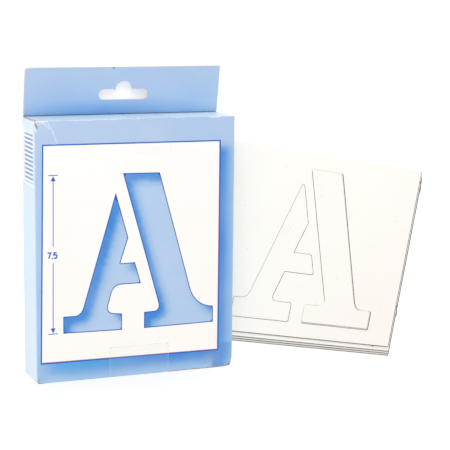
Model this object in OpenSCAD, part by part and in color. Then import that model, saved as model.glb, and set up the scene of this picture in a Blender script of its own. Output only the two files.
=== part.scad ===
// Lettering stencil set: a hang-tab carton on its back, holding die-cut alphabet
// cards, with its right side resting on a fanned pile of the first four cards.
// The origin is on the table, under the middle of the top card of the pile.

/* [Carton] */
// Room beside the boxed cards, on each side
side_room = 0.5; // [0.3:0.1:3]
// Room over the boxed cards, up to the upper tongue's tip
end_room = 0.7; // [0.5:0.1:20]
// Room in front of the boxed cards
front_room = 8.2; // [6:0.1:20]
// Thickness of the carton board
board_t = 0.5; // [0.3:0.05:0.8]
// Width of the glued seam flap along the left side
seam_w = 11; // [6:1:20]

/* [Tucked ends] */
// Length of the tucked tongue on each end flap
tongue_len = 8; // [4:0.5:9]
// Angle that each tongue leans inwards from square
tongue_lean = 16; // [12:1:25]
// Distance of a tongue from the side walls
tongue_inset = 3; // [1:0.5:8]
// Radius of the tongue's outer corners
tongue_r = 4; // [1:0.5:4]
// Length of the dust flaps under the end flaps
dust_len = 27; // [10:1:40]
// Distance of the dust flaps from the wall that the tongue slides along
dust_setback = 5.5; // [5:0.5:8]
// Room between a swinging flap and what it passes
swing_clear = 0.3; // [0.2:0.05:0.6]
// Gap between pieces that move past each other in the carton
gap = 0.1; // [0.05:0.05:0.2]

/* [Hang tab] */
// Height of the hang tab over its crease
tab_h = 22; // [20:1:40]
// Distance of the tab's sides from the carton's sides
tab_inset = 0.5; // [0:0.5:5]
// Angle that the tab leans forward at rest
tab_lean = 11; // [0:1:20]
// Height of the free crease under the tab's rear layer
crease_h = 0.8; // [0.7:0.05:0.9]
// Distance of the glued front layer from the crease
layer_h = 1.6; // [1.4:0.1:3]
// Length of the hanging slot, end to end
slot_len = 23.4; // [12:0.2:36]
// Width of the hanging slot
slot_w = 5; // [4.6:0.1:6]
// Height of the slot's middle over the crease
slot_y = 9.4; // [7:0.1:12]
// Diameter of the peg bump over the slot
bump_d = 8.2; // [6:0.1:10]
// Height of the bump's top over the crease
bump_top = 15.5; // [13:0.1:18]

/* [Label and tapes] */
// Thickness of the label and of the sealing tape
film_t = 0.1; // [0.05:0.05:0.15]
// Width of the label on the left wall
label_w = 15.5; // [8:0.5:18]
// Height of the label on the left wall
label_h = 24.5; // [10:0.5:60]
// Distance of the label from the back of the carton
label_back = 1.4; // [0.5:0.1:2]
// Distance of the label from the top of the carton
label_drop = 4.5; // [1:0.5:20]
// Width of the tape that seals the lower end
low_tape_w = 28; // [12:1:50]
// Length of the lower tape on the front
low_tape_len = 13.5; // [5:0.5:30]
// Distance of the lower tape from the left wall
low_tape_x = 33.2; // [5:0.1:60]
// Width of the tape over the upper end
top_tape_w = 16.5; // [8:0.5:40]
// Length of the upper tape on the front
top_tape_len = 15; // [5:0.5:30]
// Distance of the upper tape from the left wall
top_tape_x = 44.5; // [5:0.5:70]
// Distance of each slit tape end from its fold
tape_slit = 0.5; // [0.3:0.1:1]

/* [Cards] */
// Width of a stencil card
card_w = 105; // [100:1:106]
// Height of a stencil card
card_h = 90; // [84:1:90]
// Thickness of a stencil card
card_t = 0.6; // [0.3:0.05:0.7]
// Width of the die-cut line round each blank
kerf = 0.15; // [0.1:0.05:0.3]
// Radius of the small corners in the cut letters
corner_r = 0.9; // [0.3:0.1:1.5]
// Radius of the burrs that the die's nicks leave on the card edges
burr_r = 0.45; // [0.2:0.05:0.8]
// Distance of the upper and the lower edge's burrs from the nearest corner
burr_x = 9; // [2:0.5:20]
// Distance of the right edge's upper burr from the corner
burr_y = 5.5; // [2:0.5:15]
// Distance between the right edge's two burrs
burr_pitch = 63.5; // [20:0.5:70]

/* [Letters] */
// Height of every letter
letter_h = 75; // [60:1:78]
// Width of a heavy stroke, measured level
heavy_w = 17.1; // [10:0.1:20]
// Width of a thin stroke, measured level
thin_w = 12.5; // [7:0.1:15]
// Sideways run of a sloping leg for each unit of height
leg_slope = 0.32; // [0.25:0.01:0.36]
// Width of the uncut ties across a letter
bridge_w = 5.1; // [3:0.1:8]
// Height of the serif slabs
serif_h = 9.3; // [5:0.1:12]
// Reach of an outer serif beyond a heavy stroke
serif_out = 9; // [4:0.5:11]
// Reach of the outer serif beyond a thin stroke
serif_thin = 7; // [4:0.5:9]
// Sideways step of the thin leg's outer side from the heavy leg's peak
peak_step = 1; // [0:0.1:2]
// Reach of an inner serif beyond its stroke
serif_in = 11.5; // [4:0.5:12]
// Radius of the curve where a leg runs into its serif
bracket_r = 3.8; // [1:0.1:6]
// Height of the cross bar's top under the middle of the letter
bar_drop = 3.6; // [0:0.1:8]
// Height of the cross bar
bar_h = 9.6; // [6:0.1:12]
// Stroke width of the plain letters on the boxed cards
plain_w = 11; // [6:0.5:14]
// Width of the plain letters on the boxed cards
plain_letter_w = 56; // [40:1:70]
// Width of the nicks that hold a boxed card's blanks
nick_w = 1; // [0.5:0.1:2]
// Gap between the ends of the plain letters' bars
bar_gap = 2; // [1:0.5:6]

/* [Pile] */
// Angle that the pile is turned clockwise
pile_turn = 10.4; // [5:0.1:15]
// Reach of the pile's nearest corner under the carton
pile_reach = 7.6; // [4:0.1:12]
// Distance of the pile's middle from the carton's lower edge
pile_y = 48; // [40:1:60]

/* [Hidden] */
// Shift of each card against the top card: right and up, in the pile's own frame
CARD_SHIFT = [[0, 0], [1.1, -2.4], [1.6, -3.6], [1.95, -4.7]];
// Letters of the boxed cards, each with the bars that draw it
PLAIN = [
    ["e", "adefg"], ["f", "aefg"], ["g", "acdefg"], ["h", "bcefg"], ["i", "adtu"],
    ["j", "bcde"], ["k", "efkm"], ["l", "def"], ["m", "bcefhk"], ["n", "bcefhm"],
    ["o", "abcdef"], ["p", "abefg"], ["q", "abcdefm"], ["r", "abefgm"], ["s", "acdfg"],
    ["t", "atu"], ["u", "bcdef"], ["v", "efnk"], ["w", "bcefmn"], ["x", "hkmn"],
    ["y", "hku"], ["z", "adkn"]];
$fn = 64;
paper = [0.98, 0.97, 0.94];
blue = [0.68, 0.79, 0.92];
inside = [0.86, 0.84, 0.80];
// Depth that a cutting shape reaches past what it cuts
cut = 1;
// Place of the boxed cards: over the seam flap and past the lower dust flaps
pack_z = 2 * board_t + gap;
flap_y = board_t + gap;
pack_y = 2 * flap_y;
// Drop of a tongue's root under the outer face of its flap
tongue_drop = board_t * (1 + sin(tongue_lean));
// The carton is as large as its cards and the room round them make it
carton_w = card_h + 2 * (board_t + side_room);
carton_h = pack_y + card_w + end_room + tongue_len + tongue_drop;
carton_d = pack_z + len(PLAIN) * card_t + front_room + board_t;
// The pile's nearest corner to the carton, which carries the carton's right side
pile_t = len(CARD_SHIFT) * card_t;
corner_x = carton_w - pile_reach;
pile_x = corner_x + card_w / 2 * cos(pile_turn) + card_h / 2 * sin(pile_turn);
carton_tilt = atan((pile_t + gap / 2) / corner_x);
// A lid is as long as its swing past the tab and the far wall allows
wall_reach = carton_d - 2 * board_t - swing_clear;
tab_reach = (carton_d - 3 * board_t) * cos(tab_lean) - swing_clear;
lid_len = sqrt(pow(min(wall_reach, tab_reach), 2) - pow(board_t, 2));
half = letter_h / 2;
serif_y = serif_h - half;

// The sloping heavy leg's left side at height y
function heavy_x(y) = (half - y) * leg_slope - heavy_w / 2;
// The thin leg's outer side at height y
function thin_x(y) = (y - half) * leg_slope - heavy_w / 2 - peak_step;
// A curve of n steps from a to c, drawn towards b
function bend(a, b, c, n = 8) = [for (i = [0 : n])
    let (t = i / n) (1 - t) * (1 - t) * a + 2 * t * (1 - t) * b + t * t * c];

// Places the carton: its left lower edge on the table, its right side on the pile
module in_carton() {
    translate([-pile_x, -pile_y, 0]) rotate([0, -carton_tilt, 0]) children();
}

// Places card number i of the pile, counted down from the top
module in_pile(i) {
    rotate([0, 0, -pile_turn])
        translate([CARD_SHIFT[i].x, CARD_SHIFT[i].y, pile_t - (i + 1) * card_t]) children();
}

// Places boxed card number i, turned to lie along the carton
module in_pack(i) {
    in_carton() translate([carton_w / 2, pack_y + card_w / 2, pack_z + i * card_t])
        rotate([0, 0, 90]) children();
}

module front_panel() {
    color(blue) in_carton() translate([0, 0, carton_d - board_t])
        cube([carton_w, carton_h, board_t]);
}

module back_panel() {
    color(blue) in_carton() cube([carton_w, carton_h, board_t]);
}

module side_wall(x) {
    color(blue) in_carton() translate([x, flap_y, board_t])
        cube([board_t, carton_h - 2 * flap_y, carton_d - 2 * board_t]);
}

module left_wall() {
    side_wall(0);
}

module right_wall() {
    side_wall(carton_w - board_t);
}

module seam_flap() {
    color(inside) in_carton() translate([board_t, pack_y, board_t])
        cube([seam_w, carton_h - 2 * pack_y - tongue_len, board_t]);
}

// An end flap from its fold at z = 0, with its outer face at y = 0
module end_flap() {
    translate([gap, -board_t, -lid_len]) cube([carton_w - 2 * gap, board_t, lid_len]);
}

// The tongue of an end flap, hung under the flap's free edge and leaning inwards
module end_tongue() {
    translate([tongue_inset, -tongue_drop, -lid_len]) rotate([-tongue_lean, 0, 0])
        linear_extrude(board_t) tongue_outline(carton_w - 2 * tongue_inset);
}

module tongue_outline(width) {
    translate([0, -tongue_len + tongue_r]) square([width, tongue_len - tongue_r]);
    translate([tongue_r, -tongue_len]) square([width - 2 * tongue_r, tongue_r]);
    for (x = [tongue_r, width - tongue_r])
        translate([x, tongue_r - tongue_len]) circle(tongue_r);
}

// Places an end piece at the upper end, whose fold is at the front
module at_top() {
    in_carton() translate([0, carton_h, carton_d - board_t]) children();
}

// Places an end piece at the lower end, whose fold is at the back
module at_bottom() {
    in_carton() translate([0, 0, board_t]) mirror([0, 1, 0]) mirror([0, 0, 1]) children();
}

module top_lid() {
    color(blue) at_top() end_flap();
}

module top_tongue() {
    color(inside) at_top() end_tongue();
}

module bottom_flap() {
    color(blue) at_bottom() end_flap();
}

module bottom_tongue() {
    color(inside) at_bottom() end_tongue();
}

// A dust flap of an end whose fold is at z = 0, folded from the wall at x = 0
module dust_flap() {
    translate([board_t, -flap_y - board_t, dust_setback - carton_d + 2 * board_t])
        cube([dust_len, board_t, carton_d - 2 * board_t - dust_setback - gap]);
}

module across() {
    translate([carton_w, 0, 0]) mirror([1, 0, 0]) children();
}

module top_dust_flap_left() {
    color(inside) at_top() dust_flap();
}

module top_dust_flap_right() {
    color(inside) at_top() across() dust_flap();
}

module bottom_dust_flap_left() {
    color(inside) at_bottom() dust_flap();
}

module bottom_dust_flap_right() {
    color(inside) at_bottom() across() dust_flap();
}

// The hanging slot: a round-ended slot with a peg bump in the middle
module hang_slot() {
    run = slot_len - slot_w;
    translate([-run / 2, slot_y - slot_w / 2]) square([run, slot_w]);
    for (x = [-run / 2, run / 2]) translate([x, slot_y]) circle(slot_w / 2);
    translate([0, bump_top - bump_d / 2]) circle(bump_d / 2);
    translate([-bump_d / 2, slot_y]) square([bump_d, bump_top - bump_d / 2 - slot_y]);
}

// One layer of the tab in front of the crease line, starting at height low
module tab_layer(low, z) {
    width = carton_w - 2 * tab_inset;
    in_carton() translate([carton_w / 2, carton_h, 0]) rotate([tab_lean, 0, 0])
        translate([0, 0, z]) linear_extrude(board_t) difference() {
            translate([-width / 2, low]) square([width, tab_h - low]);
            hang_slot();
        }
}

module hang_tab_rear() {
    color(blue) tab_layer(crease_h, 0);
}

module hang_tab_front() {
    color(blue) tab_layer(layer_h, board_t);
}

module side_label() {
    color("white") in_carton()
        translate([-film_t, carton_h - label_drop - label_h, label_back])
        cube([film_t, label_h, label_w]);
}

module top_tape_front() {
    color("white", 0.5) in_carton()
        translate([top_tape_x, carton_h - tape_slit - top_tape_len, carton_d])
        cube([top_tape_w, top_tape_len, film_t]);
}

module top_tape_lid() {
    color("white", 0.5) at_top() translate([top_tape_x, 0, -lid_len])
        cube([top_tape_w, film_t, lid_len - tape_slit]);
}

module bottom_tape_front() {
    color("white", 0.5) in_carton() translate([low_tape_x, 0, carton_d]) {
        cube([low_tape_w, low_tape_len, film_t]);
        translate([0, -film_t, -board_t]) cube([low_tape_w, film_t, board_t + film_t]);
    }
}

module bottom_tape_flap() {
    color("white", 0.5) at_bottom() translate([low_tape_x, 0, -lid_len])
        cube([low_tape_w, film_t, low_tape_len]);
}

// Rounds the small corners of a cut letter
module soft_corners() {
    offset(r = corner_r, $fn = 24) offset(delta = -corner_r) children();
}

// The heavy right leg of the A with its serifs
module a_right() {
    knee = serif_y + bracket_r;
    outer = [heavy_x(serif_y) + heavy_w, serif_y];
    inner = [heavy_x(serif_y), serif_y];
    soft_corners() polygon(concat(
        [[heavy_x(half), half], [heavy_x(half) + heavy_w, half]],
        bend([heavy_x(knee) + heavy_w, knee], outer, outer + [bracket_r, 0]),
        [outer + [serif_out, 0], [outer.x + serif_out, -half]],
        [[inner.x - serif_in, -half], inner - [serif_in, 0]],
        bend(inner - [bracket_r, 0], inner, [heavy_x(knee), knee])));
}

// The thin left leg of the A with its cross bar and serifs
module a_left() {
    knee = serif_y + bracket_r;
    outer = [thin_x(serif_y), serif_y];
    inner = [thin_x(serif_y) + thin_w, serif_y];
    bar_top = -bar_drop;
    bar_low = -bar_drop - bar_h;
    apex_y = half - (bridge_w - peak_step) / (2 * leg_slope);
    counter_y = half - (thin_w + bridge_w - peak_step) / (2 * leg_slope);
    soft_corners() polygon(concat(
        [[thin_x(apex_y), apex_y], [heavy_x(counter_y) - bridge_w, counter_y]],
        [[thin_x(bar_top) + thin_w, bar_top], [heavy_x(bar_top) - bridge_w, bar_top]],
        [[heavy_x(bar_low) - bridge_w, bar_low], [thin_x(bar_low) + thin_w, bar_low]],
        bend([thin_x(knee) + thin_w, knee], inner, inner + [bracket_r, 0]),
        [inner + [serif_in, 0], [inner.x + serif_in, -half]],
        [[outer.x - serif_thin, -half], outer - [serif_thin, 0]],
        bend(outer - [bracket_r, 0], outer, [thin_x(knee), knee])));
}

// An upright heavy stroke with serif slabs on its left, its right side at x = 0
module stem() {
    translate([-heavy_w, -half]) square([heavy_w, letter_h]);
    for (y = [-half, half - serif_h])
        translate([-heavy_w - serif_out, y]) square([heavy_w + serif_out, serif_h]);
}

// A bowl of the given height that opens to the left at x = 0
module bowl(height, run) {
    inner = height - 2 * serif_h;
    difference() {
        union() {
            translate([0, -height / 2]) square([run, height]);
            translate([run, 0]) circle(height / 2);
        }
        translate([0, -inner / 2]) square([run - heavy_w + serif_h, inner]);
        translate([run - heavy_w + serif_h, 0]) circle(inner / 2);
        translate([-height - run, -height]) square([height + run, 2 * height]);
    }
}

module b_bowls() {
    height = (letter_h + serif_h) / 2;
    for (s = [-1, 1]) translate([0, s * (letter_h - height) / 2]) bowl(height, heavy_w);
}

module d_bowl() {
    bowl(letter_h, serif_h);
}

// The ring of the C, cut open on its right
module c_ring() {
    difference() {
        circle(half);
        translate([heavy_w - serif_h, 0]) circle(half - serif_h);
        translate([0, -half / 2]) square([letter_h, half]);
    }
}

module c_left() {
    intersection() {
        c_ring();
        translate([-letter_h - bridge_w / 2, -letter_h]) square([letter_h, 2 * letter_h]);
    }
}

module c_ends() {
    intersection() {
        c_ring();
        translate([bridge_w / 2, -letter_h]) square([letter_h, 2 * letter_h]);
    }
}

// The left part of a letter sits left of the middle tie, and the right part right of it
module left_of_tie() {
    translate([-bridge_w, 0]) children();
}

module right_of_tie() {
    children();
}

module card_outline() {
    square([card_w, card_h], center = true);
    for (side = [-1, 1])
        translate([side * (card_w / 2 - burr_x), side * card_h / 2]) circle(burr_r, $fn = 24);
    for (y = [card_h / 2 - burr_y, card_h / 2 - burr_y - burr_pitch])
        translate([card_w / 2, y]) circle(burr_r, $fn = 24);
}

// A loose card with openings for the blanks, each a kerf wider than its blank
module cut_card(i) {
    color(paper) in_pile(i) linear_extrude(card_t) difference() {
        card_outline();
        offset(delta = kerf) children();
    }
}

module blank(i) {
    color(paper) in_pile(i) linear_extrude(card_t) children();
}

module card_a() {
    cut_card(0) {
        a_left();
        a_right();
    }
}

module blank_a_left() {
    blank(0) a_left();
}

module blank_a_right() {
    blank(0) a_right();
}

module card_b() {
    cut_card(1) {
        left_of_tie() stem();
        right_of_tie() b_bowls();
    }
}

module blank_b_stem() {
    blank(1) left_of_tie() stem();
}

module blank_b_bowls() {
    blank(1) right_of_tie() b_bowls();
}

module card_c() {
    cut_card(2) {
        c_left();
        c_ends();
    }
}

module blank_c_left() {
    blank(2) c_left();
}

module blank_c_ends() {
    blank(2) c_ends();
}

module card_d() {
    cut_card(3) {
        left_of_tie() stem();
        right_of_tie() d_bowl();
    }
}

module blank_d_stem() {
    blank(3) left_of_tie() stem();
}

module blank_d_bowl() {
    blank(3) right_of_tie() d_bowl();
}

// The die-cut line round one bar, left uncut at a nick on each long side
module bar_line(length) {
    difference() {
        square([length + 2 * kerf, plain_w + 2 * kerf], center = true);
        square([length, plain_w], center = true);
        square([nick_w, plain_w + 2 * cut], center = true);
    }
}

// The line round one named bar of a plain letter
module plain_bar(name) {
    reach_x = (plain_letter_w - plain_w) / 2;
    reach_y = (letter_h - plain_w) / 2;
    long = reach_x * 2 - plain_w - bar_gap;
    tall = reach_y - plain_w - bar_gap;
    slant = atan(reach_y / reach_x);
    side = name == "b" || name == "c" || name == "k" || name == "m" ? 1 : -1;
    up = name == "b" || name == "f" || name == "h" || name == "k" || name == "t" ? 1 : -1;
    if (name == "a" || name == "d")
        translate([0, name == "a" ? reach_y : -reach_y]) bar_line(long);
    else if (name == "g")
        bar_line(long);
    else if (name == "t" || name == "u")
        translate([0, up * reach_y / 2]) rotate(90) bar_line(tall);
    else if (name == "h" || name == "k" || name == "m" || name == "n")
        translate([side * reach_x / 2, up * reach_y / 2]) rotate(side * up * slant)
            bar_line(tall / 2);
    else
        translate([side * reach_x, up * reach_y / 2]) rotate(90) bar_line(tall);
}

// Boxed card number i, with its letter cut but every blank still held by nicks
module boxed_card(i) {
    color(paper) in_pack(i) linear_extrude(card_t) difference() {
        square([card_w, card_h], center = true);
        for (name = PLAIN[i][1]) plain_bar(name);
    }
}

front_panel();
back_panel();
left_wall();
right_wall();
seam_flap();
top_lid();
top_tongue();
top_dust_flap_left();
top_dust_flap_right();
bottom_flap();
bottom_tongue();
bottom_dust_flap_left();
bottom_dust_flap_right();
hang_tab_rear();
hang_tab_front();
side_label();
top_tape_front();
top_tape_lid();
bottom_tape_front();
bottom_tape_flap();
card_a();
blank_a_left();
blank_a_right();
card_b();
blank_b_stem();
blank_b_bowls();
card_c();
blank_c_left();
blank_c_ends();
card_d();
blank_d_stem();
blank_d_bowl();
for (i = [0 : len(PLAIN) - 1])
    boxed_card(i);
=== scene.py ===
import math
import bmesh
import bpy
from mathutils import Matrix, Vector, noise
from mathutils.geometry import delaunay_2d_cdt


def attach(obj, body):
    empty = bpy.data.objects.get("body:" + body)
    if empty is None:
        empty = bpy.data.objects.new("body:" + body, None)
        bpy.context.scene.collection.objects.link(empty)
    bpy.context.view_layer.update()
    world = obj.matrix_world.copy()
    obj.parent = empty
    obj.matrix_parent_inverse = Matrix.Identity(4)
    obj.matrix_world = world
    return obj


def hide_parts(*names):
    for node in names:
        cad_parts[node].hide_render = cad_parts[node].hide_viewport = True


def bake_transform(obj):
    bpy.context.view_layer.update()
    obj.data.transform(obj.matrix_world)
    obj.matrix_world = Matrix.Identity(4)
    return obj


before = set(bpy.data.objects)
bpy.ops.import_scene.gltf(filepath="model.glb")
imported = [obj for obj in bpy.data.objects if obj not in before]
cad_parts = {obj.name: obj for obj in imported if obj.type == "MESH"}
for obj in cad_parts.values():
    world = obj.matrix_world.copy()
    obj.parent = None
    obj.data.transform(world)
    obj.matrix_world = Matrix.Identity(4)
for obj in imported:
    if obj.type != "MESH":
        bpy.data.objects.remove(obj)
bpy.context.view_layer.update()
mm = 0.001
print("frame loaded")

# sizes in millimetres, in the carton's own frame: x across, y up the front, z from the back to the front
carton = {
    "width": 92.0,
    "height": 115.538,
    "depth": 23.0,
    "board": 0.5,
    "foldRadius": 0.9,
    "wallBack": 0.6,        # the side walls stop this much short of each end
    "place": (-144.161, -48.0, 0.0),
    "tilt": 1.66274,
    "bulge": 0.4,
    "cornerDent": 1.1,
    "lowCornerDent": 0.35,
    "knock": 0.7,           # how far the lower right corner is pushed in
    "crease": ((5.2, 115.5), (9.4, 106)),
    "creaseLift": 0.14,
    "creaseWidth": 0.55,
    "ripple": 0.07,
    "ripplePitch": 21,
    "bow": 0.16,            # how far the side walls bow out
}
boxWidth, boxHeight, boxDepth, board = (carton[key] for key in ("width", "height", "depth", "board"))
cartonPlace = (Matrix.Translation(Vector(carton["place"]) * mm)
               @ Matrix.Rotation(math.radians(-carton["tilt"]), 4, "Y")
               @ Matrix.Scale(mm, 4))


def tone(code):
    # a linear colour from an sRGB hex code
    parts = [int(code[i:i + 2], 16) / 255 for i in (1, 3, 5)]
    linear = [p / 12.92 if p <= 0.04045 else ((p + 0.055) / 1.055) ** 2.4 for p in parts]
    return (*linear, 1.0)


def smooth(low, high, value):
    share = min(max((value - low) / (high - low), 0.0), 1.0)
    return share * share * (3 - 2 * share)


def toSegment(x, y, start, end):
    dx, dy = end[0] - start[0], end[1] - start[1]
    share = ((x - start[0]) * dx + (y - start[1]) * dy) / (dx * dx + dy * dy)
    share = min(max(share, 0.0), 1.0)
    return math.hypot(x - start[0] - share * dx, y - start[1] - share * dy)


def toOutline(x, y, loops):
    return min(toSegment(x, y, loop[i - 1], point) for loop in loops for i, point in enumerate(loop))


def inside(x, y, loops):
    odd = False
    for loop in loops:
        for i, b in enumerate(loop):
            a = loop[i - 1]
            if (a[1] > y) != (b[1] > y) and x < (b[0] - a[0]) * (y - a[1]) / (b[1] - a[1]) + a[0]:
                odd = not odd
    return odd


def swell(x, y, width, height):
    # 0 at the edges of a field and 1 at its middle
    return math.sin(math.pi * x / width) * math.sin(math.pi * y / height)


def near(x, y, spotX, spotY, reach):
    # 1 at a spot, fading out round it
    return math.exp(-((x - spotX) ** 2 + (y - spotY) ** 2) / reach)


def frontRise(x, y):
    # how far the front stands over its flat plane, with its knocks and soft bulge
    pitch = carton["ripplePitch"]
    onX, onY = min(max(x, 0), boxWidth), min(max(y, 0), boxHeight)
    rise = carton["bulge"] * swell(onX, onY, boxWidth, boxHeight)
    ripple = noise.noise(Vector((x / pitch, y / pitch, 3.1)))
    rise += carton["ripple"] * ripple * smooth(0, 12, min(x, boxWidth - x))
    rise -= carton["cornerDent"] * near(x, y, 0, boxHeight, 14)
    rise -= carton["lowCornerDent"] * near(x, y, boxWidth, 0, 7)
    fromCrease = toSegment(x, y, *carton["crease"])
    return rise + carton["creaseLift"] * math.exp(-(fromCrease / carton["creaseWidth"]) ** 2)


# meshes
def run(a, b, first, count):
    # points on the straight way from a to b, in count steps, without b itself
    return [tuple(p + (q - p) * k / count for p, q in zip(a, b)) for k in range(first, count)]


def arc(x, y, radius, start, end, count):
    # points on an arc round (x, y), with its angles in degrees
    angles = [math.radians(start + (end - start) * i / count) for i in range(count + 1)]
    return [(x + radius * math.cos(a), y + radius * math.sin(a)) for a in angles]


def curve(start, pull, end, count=8):
    # points on a soft bend from start to end
    points = []
    for i in range(count + 1):
        t = i / count
        points.append(tuple((1 - t) ** 2 * a + 2 * t * (1 - t) * b + t * t * c
                            for a, b, c in zip(start, pull, end)))
    return points


def strip(left, low, wide, tall):
    return [(left, low), (left + wide, low), (left + wide, low + tall), (left, low + tall)]


def splitLoop(loop, step):
    # the same outline with no side longer than step
    points = []
    for i, b in enumerate(loop):
        points += run(loop[i - 1], b, 0, max(1, math.ceil(math.dist(loop[i - 1], b) / step)))
    return points


def fillFlat(loops, cell, extraY=()):
    # triangles that fill an outline with its holes, with a grid of points inside
    fine = [splitLoop(loop, cell) for loop in loops]
    points, edges = [], []
    for loop in fine:
        first = len(points)
        points += loop
        edges += [(first + i, first + (i + 1) % len(loop)) for i in range(len(loop))]
    lines = []
    for numbers, extra in zip(zip(*fine[0]), ((), extraY)):
        low, high = min(numbers), max(numbers)
        lines.append([low + cell * (i + 0.5) for i in range(int((high - low) / cell))] + list(extra))
    for x in lines[0]:
        for y in lines[1]:
            if inside(x, y, loops) and toOutline(x, y, loops) > cell * 0.35:
                points.append((x, y))
    spots, _, faces, *_ = delaunay_2d_cdt([Vector(p) for p in points], edges, [], 0, 1e-6)
    kept = []
    for face in faces:
        middle = [sum(spots[i][axis] for i in face) / 3 for axis in (0, 1)]
        if inside(*middle, loops):
            kept.append(tuple(face))
    return [(s.x, s.y) for s in spots], kept


def link(name, data):
    thing = bpy.data.objects.new(name, data)
    bpy.context.collection.objects.link(thing)
    return thing


def addPiece(name, vertices, faces, place, materials, slots, shades, angle=35):
    mesh = bpy.data.meshes.new(name)
    mesh.from_pydata([place @ Vector(v) for v in vertices], [], faces)
    for material in materials:
        mesh.materials.append(material)
    mesh.polygons.foreach_set("material_index", slots)
    for shade, values in shades.items():
        mesh.attributes.new(shade, "FLOAT", "POINT").data.foreach_set("value", values)
    mesh.validate()
    solid = bmesh.new()
    solid.from_mesh(mesh)
    bmesh.ops.recalc_face_normals(solid, faces=solid.faces)
    solid.to_mesh(mesh)
    solid.free()
    mesh.update()
    mesh.polygons.foreach_set("use_smooth", [True] * len(mesh.polygons))
    mesh.set_sharp_from_angle(angle=math.radians(angle))
    return link(name, mesh)


def softenEdges(piece):
    bevel = piece.modifiers.new("softEdges", "BEVEL")
    bevel.width = 0.07 * mm
    bevel.segments = 2
    bevel.limit_method = "ANGLE"
    bevel.angle_limit = math.radians(40)


def register(piece, finish, body, *nodes):
    # hides the nodes the piece stands for and hangs it on the body that carries it; finish, what it is made
    # of, is not used
    if nodes:
        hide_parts(*nodes)
    if body:
        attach(piece, body)


def valueAt(value, point):
    return value(*point) if callable(value) else value


def sheet(name, loops, place, spot, materials, cell=2.0, shades=None, lowSlot=0, edgeSlot=0, rows=()):
    # a thin closed sheet: spot(x, y, 1) is its upper side and spot(x, y, 0) its lower side;
    # edgeSlot is the material of its sides, and it and the shades are numbers or functions of the place
    points, faces = fillFlat(loops, cell, rows)
    count = len(points)
    vertices = [spot(x, y, side) for side in (1, 0) for x, y in points]
    edges = dict.fromkeys(edge for a, b, c in faces for edge in ((a, b), (b, c), (c, a)))
    border = [(a, b) for a, b in edges if (b, a) not in edges]
    solid = list(faces) + [(c + count, b + count, a + count) for a, b, c in faces]
    solid += [(b, a, a + count, b + count) for a, b in border]
    slots = [0] * len(faces) + [lowSlot] * len(faces)
    slots += [valueAt(edgeSlot, points[a]) for a, b in border]
    values = {k: [float(valueAt(f, point)) for point in points] * 2 for k, f in (shades or {}).items()}
    return addPiece(name, vertices, solid, place, materials, slots, values)


# nodes: each of these adds to the node tree of the material or world in work
work = {}


def startTree(owner):
    owner.use_nodes = True
    work.update(owner=owner, nodes=owner.node_tree.nodes, links=owner.node_tree.links)


def startMaterial(name):
    startTree(bpy.data.materials.new(name))


def addNode(kind, **values):
    node = work["nodes"].new("ShaderNode" + kind)
    for key, value in values.items():
        setattr(node, key, value)
    return node


def feed(socket, value):
    # value is a number, a vector, a colour code or another node's output
    if isinstance(value, str):
        value = tone(value)
    if isinstance(value, (int, float, tuple, Vector)):
        socket.default_value = value
    else:
        work["links"].new(value, socket)


def feedAll(node, *values):
    for socket, value in zip(node.inputs, values):
        feed(socket, value)
    return node


def feedNamed(node, values):
    for name, value in values.items():
        feed(node.inputs[name], value)
    return node


def mix(share, first, second):
    node = addNode("Mix", data_type="RGBA")
    for index, value in ((0, share), (6, first), (7, second)):
        feed(node.inputs[index], value)
    return node.outputs[2]


def maths(operation, *values, clamp=False):
    return feedAll(addNode("Math", operation=operation, use_clamp=clamp), *values).outputs[0]


def vectorMaths(operation, *values):
    return feedAll(addNode("VectorMath", operation=operation), *values)


def times(first, second):
    return maths("MULTIPLY", first, second)


def spread(value, low, high, fromLow=0.0, fromHigh=1.0):
    # carries a value smoothly from one range over to another
    node = addNode("MapRange", interpolation_type="SMOOTHSTEP")
    return feedAll(node, value, fromLow, fromHigh, low, high).outputs["Result"]


def readShade(name):
    return addNode("Attribute", attribute_name=name).outputs["Fac"]


def mapped(where, move=(0, 0, 0), turn=(0, 0, 0), scale=(1, 1, 1)):
    return feedAll(addNode("Mapping"), where, move, turn, scale).outputs["Vector"]


def spotNode(**changes):
    # the place in the shared frame
    return mapped(addNode("TexCoord").outputs["Object"], **changes)


def axes(vector):
    return feedAll(addNode("SeparateXYZ"), vector).outputs


def noiseNode(where, scale, detail=3.0, rough=0.55):
    values = {"Vector": where, "Scale": scale, "Detail": detail, "Roughness": rough}
    return feedNamed(addNode("TexNoise"), values).outputs["Fac"]


def speckNode(where, scale, size, dimensions="2D"):
    # 1 on sparse small specks, 0 elsewhere
    node = addNode("TexVoronoi", voronoi_dimensions=dimensions)
    feedNamed(node, {"Vector": where, "Scale": scale})
    return spread(node.outputs["Distance"], 1.0, 0.0, size * 0.5, size)


def paperFibres(scale):
    # long and short fibres together
    long = noiseNode(spotNode(scale=(1, 0.25, 1)), scale, 4, 0.65)
    short = noiseNode(spotNode(scale=(0.4, 1, 1)), scale * 1.7, 3, 0.6)
    return maths("ADD", times(long, 0.6), times(short, 0.4))


def twoTone(field, first, second, low=0.3, high=0.7):
    return mix(spread(field, 0.0, 1.0, low, high), first, second)


def finishMaterial(base, roughness, specular, relief, depth, strength, more=None):
    # relief stands out by depth, in millimetres; more holds further inputs of the shader
    bump = feedNamed(addNode("Bump"), {"Strength": strength, "Distance": depth * mm, "Height": relief})
    feedNamed(work["nodes"]["Principled BSDF"], {
        "Base Color": base,
        "Roughness": roughness,
        "Specular IOR Level": specular,
        "Normal": bump.outputs["Normal"],
        **(more or {}),
    })
    return work["owner"]


def seenDirectly():
    # 1 for rays that show a surface to the camera, straight, in a gloss or through a film
    path = addNode("LightPath").outputs
    seen = maths("MAXIMUM", path["Is Camera Ray"], path["Is Glossy Ray"])
    return maths("MAXIMUM", seen, path["Is Transmission Ray"])


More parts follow.
